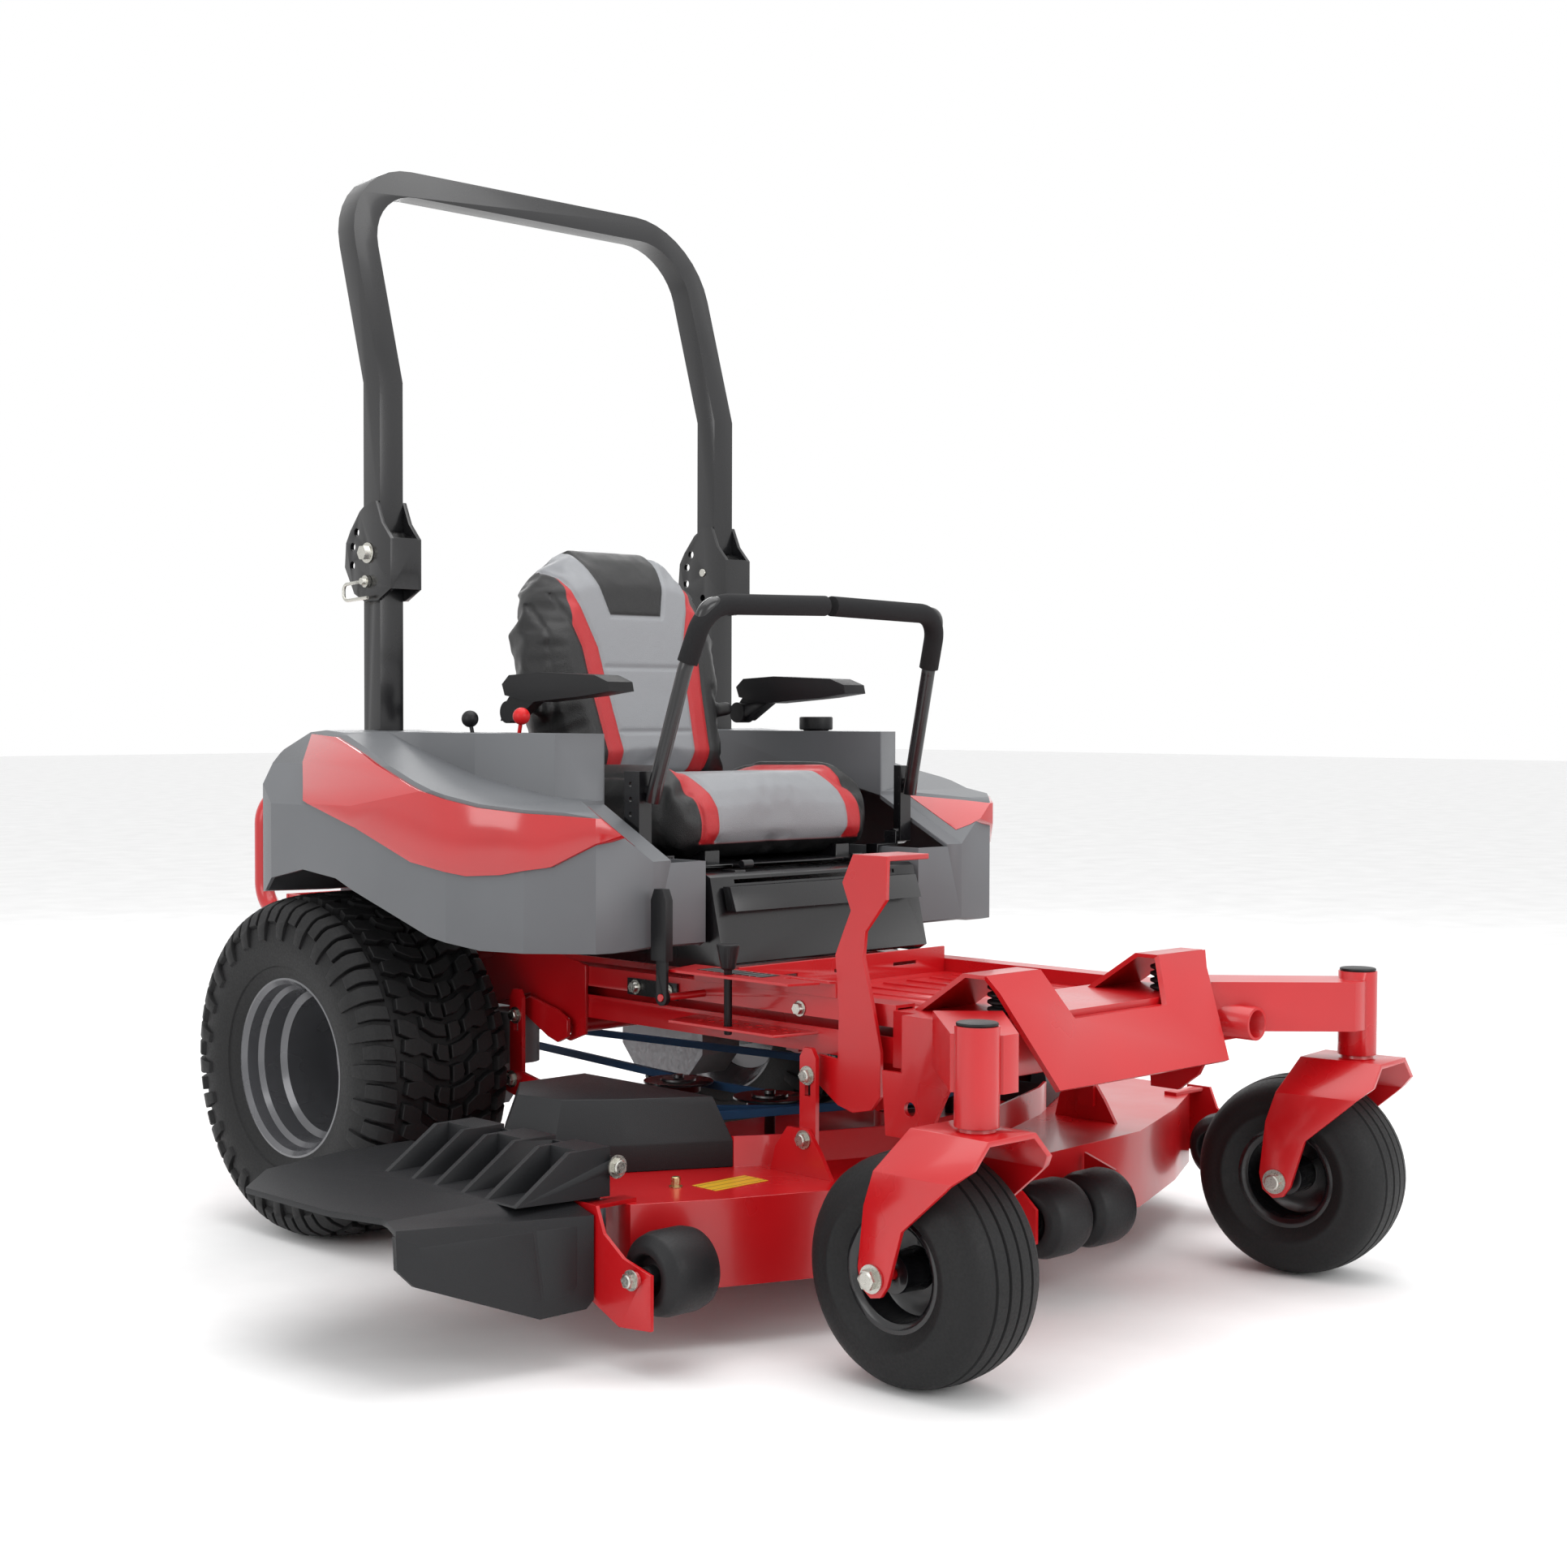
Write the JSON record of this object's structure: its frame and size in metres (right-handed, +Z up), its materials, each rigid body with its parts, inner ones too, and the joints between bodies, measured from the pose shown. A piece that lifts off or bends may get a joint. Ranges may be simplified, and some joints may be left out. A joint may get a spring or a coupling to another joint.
{
  "type": "zero turn mower",
  "caption": "Ride-on zero turn lawn mower with folding roll bar, suspended-style seat, twin steering levers and a wide side-discharge deck.",
  "frame": {"origin": "bottom centre of the whole machine, on the ground under the middle of its bounding box", "axes": "+Z up, front of the machine towards -Y, its right side (with the discharge chute) towards -X"},
  "size_m": [1.874, 2.1517, 1.95],
  "materials": {
    "frame_paint": "satin red powder coat",
    "black_paint": "satin black powder coat",
    "gunmetal": "metallic dark grey paint",
    "grey_plastic": "fine-textured moulded grey plastic",
    "red_gloss": "glossy red moulded panel",
    "black_plastic": "fine-textured black plastic",
    "red_plastic": "satin red plastic",
    "charcoal_plastic": "textured charcoal plastic",
    "black_rubber": "matt black rubber",
    "belt_rubber": "fabric-backed blue belt",
    "tyre_black": "matt black tyre rubber",
    "zinc_steel": "zinc plated",
    "bare_steel": "dark satin steel",
    "cast_alloy": "as-cast alloy",
    "seat_leather": "vinyl, black with a grey centre panel"
  },
  "bodies": {
    "frame": {"frame_rails": "frame_paint", "front_crossbeam": "frame_paint", "caster_caps": "black_plastic", "floor_pan": "frame_paint", "footrest": "frame_paint", "footrest_bellows": "black_rubber", "rear_frame": "frame_paint", "rear_guard": "frame_paint", "engine_block": "cast_alloy", "engine_blower": "black_plastic", "muffler": "bare_steel", "transaxles": "cast_alloy", "seat_box": "black_paint", "fender_r": "grey_plastic", "fender_l": "grey_plastic", "side_panel_r": "red_gloss", "side_panel_l": "red_gloss", "rops_lower": "black_paint", "frame_bolts": "zinc_steel"},
    "hoop": {"rops_hoop": "black_paint"},
    "seat_pan": {"seat_base": "black_paint"},
    "seat": {"seat_cushion": "seat_leather", "seat_back": "seat_leather"},
    "throttle": {"throttle_lever": "black_plastic"},
    "choke": {"choke_lever": "red_plastic"},
    "brake": {"parking_brake": "black_plastic"},
    "height_stop": {"height_pin": "black_plastic"},
    "filler_cap": {"fuel_cap": "black_plastic"},
    "front_lift": {"lift_pedal": "frame_paint"},
    "back_lift": {"rear_lift": "frame_paint"},
    "deck": {"deck_shell": "frame_paint", "belt_covers": "charcoal_plastic", "deck_belt": "belt_rubber", "deck_brackets": "frame_paint"},
    "chute": {"discharge_chute": "black_rubber"},
    "blade_c": {"spindle_c": "bare_steel"},
    "rollers_c": {"roller_centre": "black_rubber"},
    "pin_r": {"lock_pin_r": "zinc_steel"},
    "arm_r": {"armrest_r": "black_plastic"},
    "hub_r": {"lever_hub_r": "black_paint"},
    "drive_lever_r": {"lever_r": "black_rubber"},
    "caster_r": {"caster_fork_r": "frame_paint"},
    "caster_wheel_r": {"caster_tyre_r": "tyre_black", "caster_rim_r": "black_paint"},
    "drive_wheel_r": {"drive_tyre_r": "tyre_black", "drive_rim_r": "gunmetal"},
    "blade_r": {"spindle_r": "bare_steel"},
    "roller_r": {"roller_r": "black_rubber"},
    "pin_l": {"lock_pin_l": "zinc_steel"},
    "arm_l": {"armrest_l": "black_plastic"},
    "hub_l": {"lever_hub_l": "black_paint"},
    "drive_lever_l": {"lever_l": "black_rubber"},
    "caster_l": {"caster_fork_l": "frame_paint"},
    "caster_wheel_l": {"caster_tyre_l": "tyre_black", "caster_rim_l": "black_paint"},
    "drive_wheel_l": {"drive_tyre_l": "tyre_black", "drive_rim_l": "gunmetal"},
    "blade_l": {"spindle_l": "bare_steel"},
    "roller_l": {"roller_l": "black_rubber"}
  },
  "joints": [
    {"name": "rops_fold", "type": "hinge", "parent": "frame", "child": "hoop", "pos_m": [0.155, 0.46162, 1.219], "axis": [-1, 0, 0], "range_deg": [0, 100]},
    {"name": "seat_tilt", "type": "hinge", "parent": "frame", "child": "seat_pan", "pos_m": [0.155, -0.20438, 0.672], "axis": [1, 0, 0], "range_deg": [0, 22]},
    {"name": "seat_slide", "type": "slide", "parent": "seat_pan", "child": "seat", "axis": [0, 1, 0], "range_m": [-0.04, 0.04]},
    {"name": "throttle_turn", "type": "hinge", "parent": "frame", "child": "throttle", "pos_m": [-0.247, 0.20862, 0.868], "axis": [1, 0, 0], "range_deg": [-15, 15]},
    {"name": "choke_turn", "type": "hinge", "parent": "frame", "child": "choke", "pos_m": [-0.229, 0.11362, 0.868], "axis": [1, 0, 0], "range_deg": [-15, 15]},
    {"name": "brake_pull", "type": "hinge", "parent": "frame", "child": "brake", "pos_m": [-0.235, -0.27038, 0.47], "axis": [1, 0, 0], "range_deg": [0, 30]},
    {"name": "height_pin_lift", "type": "slide", "parent": "frame", "child": "height_stop", "axis": [0, 0, 1], "range_m": [0, 0.06]},
    {"name": "fuel_cap_turn", "type": "hinge", "parent": "frame", "child": "filler_cap", "pos_m": [0.559, 0.15362, 0.9], "axis": [0, 0, 1], "continuous": true},
    {"name": "pedal_lift", "type": "hinge", "parent": "frame", "child": "front_lift", "pos_m": [0.155, -0.62838, 0.348], "axis": [1, 0, 0], "range_deg": [-28, 25]},
    {"name": "rear_lift_turn", "type": "hinge", "parent": "frame", "child": "back_lift", "pos_m": [0.155, 0.07462, 0.38], "axis": [1, 0, 0], "range_deg": [-28, 25]},
    {"name": "deck_lift", "type": "slide", "parent": "frame", "child": "deck", "axis": [0, 0, 1], "range_m": [-0.0402, 0.0359]},
    {"name": "chute_lift", "type": "hinge", "parent": "deck", "child": "chute", "pos_m": [-0.545, -0.25038, 0.274], "axis": [0, 1, 0], "range_deg": [0, 80]},
    {"name": "blade_spin_c", "type": "hinge", "parent": "deck", "child": "blade_c", "pos_m": [0.155, -0.43138, 0.22], "axis": [0, 0, 1], "continuous": true},
    {"name": "roller_spin_c", "type": "hinge", "parent": "deck", "child": "rollers_c", "pos_m": [0.184, -0.77138, 0.14], "axis": [1, 0, 0], "continuous": true},
    {"name": "pin_pull_r", "type": "slide", "parent": "hoop", "child": "pin_r", "axis": [-1, 0, 0], "range_m": [0, 0.03]},
    {"name": "armrest_lift_r", "type": "hinge", "parent": "seat", "child": "arm_r", "pos_m": [-0.137, 0.24362, 0.93], "axis": [-1, 0, 0], "range_deg": [0, 95]},
    {"name": "lever_drive_r", "type": "hinge", "parent": "frame", "child": "hub_r", "pos_m": [-0.17, -0.13438, 0.7], "axis": [1, 0, 0], "range_deg": [-12, 15]},
    {"name": "lever_out_r", "type": "hinge", "parent": "hub_r", "child": "drive_lever_r", "pos_m": [-0.17, -0.15638, 0.8], "axis": [0, -1, 0], "range_deg": [0, 25]},
    {"name": "caster_swivel_r", "type": "hinge", "parent": "frame", "child": "caster_r", "pos_m": [-0.329, -1.00438, 0.4], "axis": [0, 0, 1], "continuous": true},
    {"name": "caster_spin_r", "type": "hinge", "parent": "caster_r", "child": "caster_wheel_r", "pos_m": [-0.329, -0.91038, 0.165], "axis": [1, 0, 0], "continuous": true},
    {"name": "drive_spin_r", "type": "hinge", "parent": "frame", "child": "drive_wheel_r", "pos_m": [-0.373, 0.41362, 0.305], "axis": [1, 0, 0], "continuous": true},
    {"name": "blade_spin_r", "type": "hinge", "parent": "deck", "child": "blade_r", "pos_m": [-0.35, -0.26638, 0.22], "axis": [0, 0, 1], "continuous": true},
    {"name": "roller_spin_r", "type": "hinge", "parent": "deck", "child": "roller_r", "pos_m": [-0.535, -0.62138, 0.14], "axis": [1, 0, 0], "continuous": true},
    {"name": "pin_pull_l", "type": "slide", "parent": "hoop", "child": "pin_l", "axis": [1, 0, 0], "range_m": [0, 0.03]},
    {"name": "armrest_lift_l", "type": "hinge", "parent": "seat", "child": "arm_l", "pos_m": [0.447, 0.24362, 0.93], "axis": [-1, 0, 0], "range_deg": [0, 95]},
    {"name": "lever_drive_l", "type": "hinge", "parent": "frame", "child": "hub_l", "pos_m": [0.48, -0.13438, 0.7], "axis": [1, 0, 0], "range_deg": [-12, 15]},
    {"name": "lever_out_l", "type": "hinge", "parent": "hub_l", "child": "drive_lever_l", "pos_m": [0.48, -0.15638, 0.8], "axis": [0, 1, 0], "range_deg": [0, 25]},
    {"name": "caster_swivel_l", "type": "hinge", "parent": "frame", "child": "caster_l", "pos_m": [0.639, -1.00438, 0.4], "axis": [0, 0, 1], "continuous": true},
    {"name": "caster_spin_l", "type": "hinge", "parent": "caster_l", "child": "caster_wheel_l", "pos_m": [0.62592, -0.9113, 0.165], "axis": [0.9903, 0.1392, 0], "continuous": true},
    {"name": "drive_spin_l", "type": "hinge", "parent": "frame", "child": "drive_wheel_l", "pos_m": [0.683, 0.41362, 0.305], "axis": [1, 0, 0], "continuous": true},
    {"name": "blade_spin_l", "type": "hinge", "parent": "deck", "child": "blade_l", "pos_m": [0.66, -0.26638, 0.22], "axis": [0, 0, 1], "continuous": true},
    {"name": "roller_spin_l", "type": "hinge", "parent": "deck", "child": "roller_l", "pos_m": [0.845, -0.62138, 0.14], "axis": [1, 0, 0], "continuous": true}
  ],
  "couplings": [
    {"joint": "deck_lift", "follows": "pedal_lift", "m_per_rad": 0.082},
    {"joint": "rear_lift_turn", "follows": "pedal_lift", "ratio": 1},
    {"joint": "blade_spin_r", "follows": "blade_spin_c", "ratio": 1},
    {"joint": "blade_spin_l", "follows": "blade_spin_c", "ratio": 1}
  ]
}
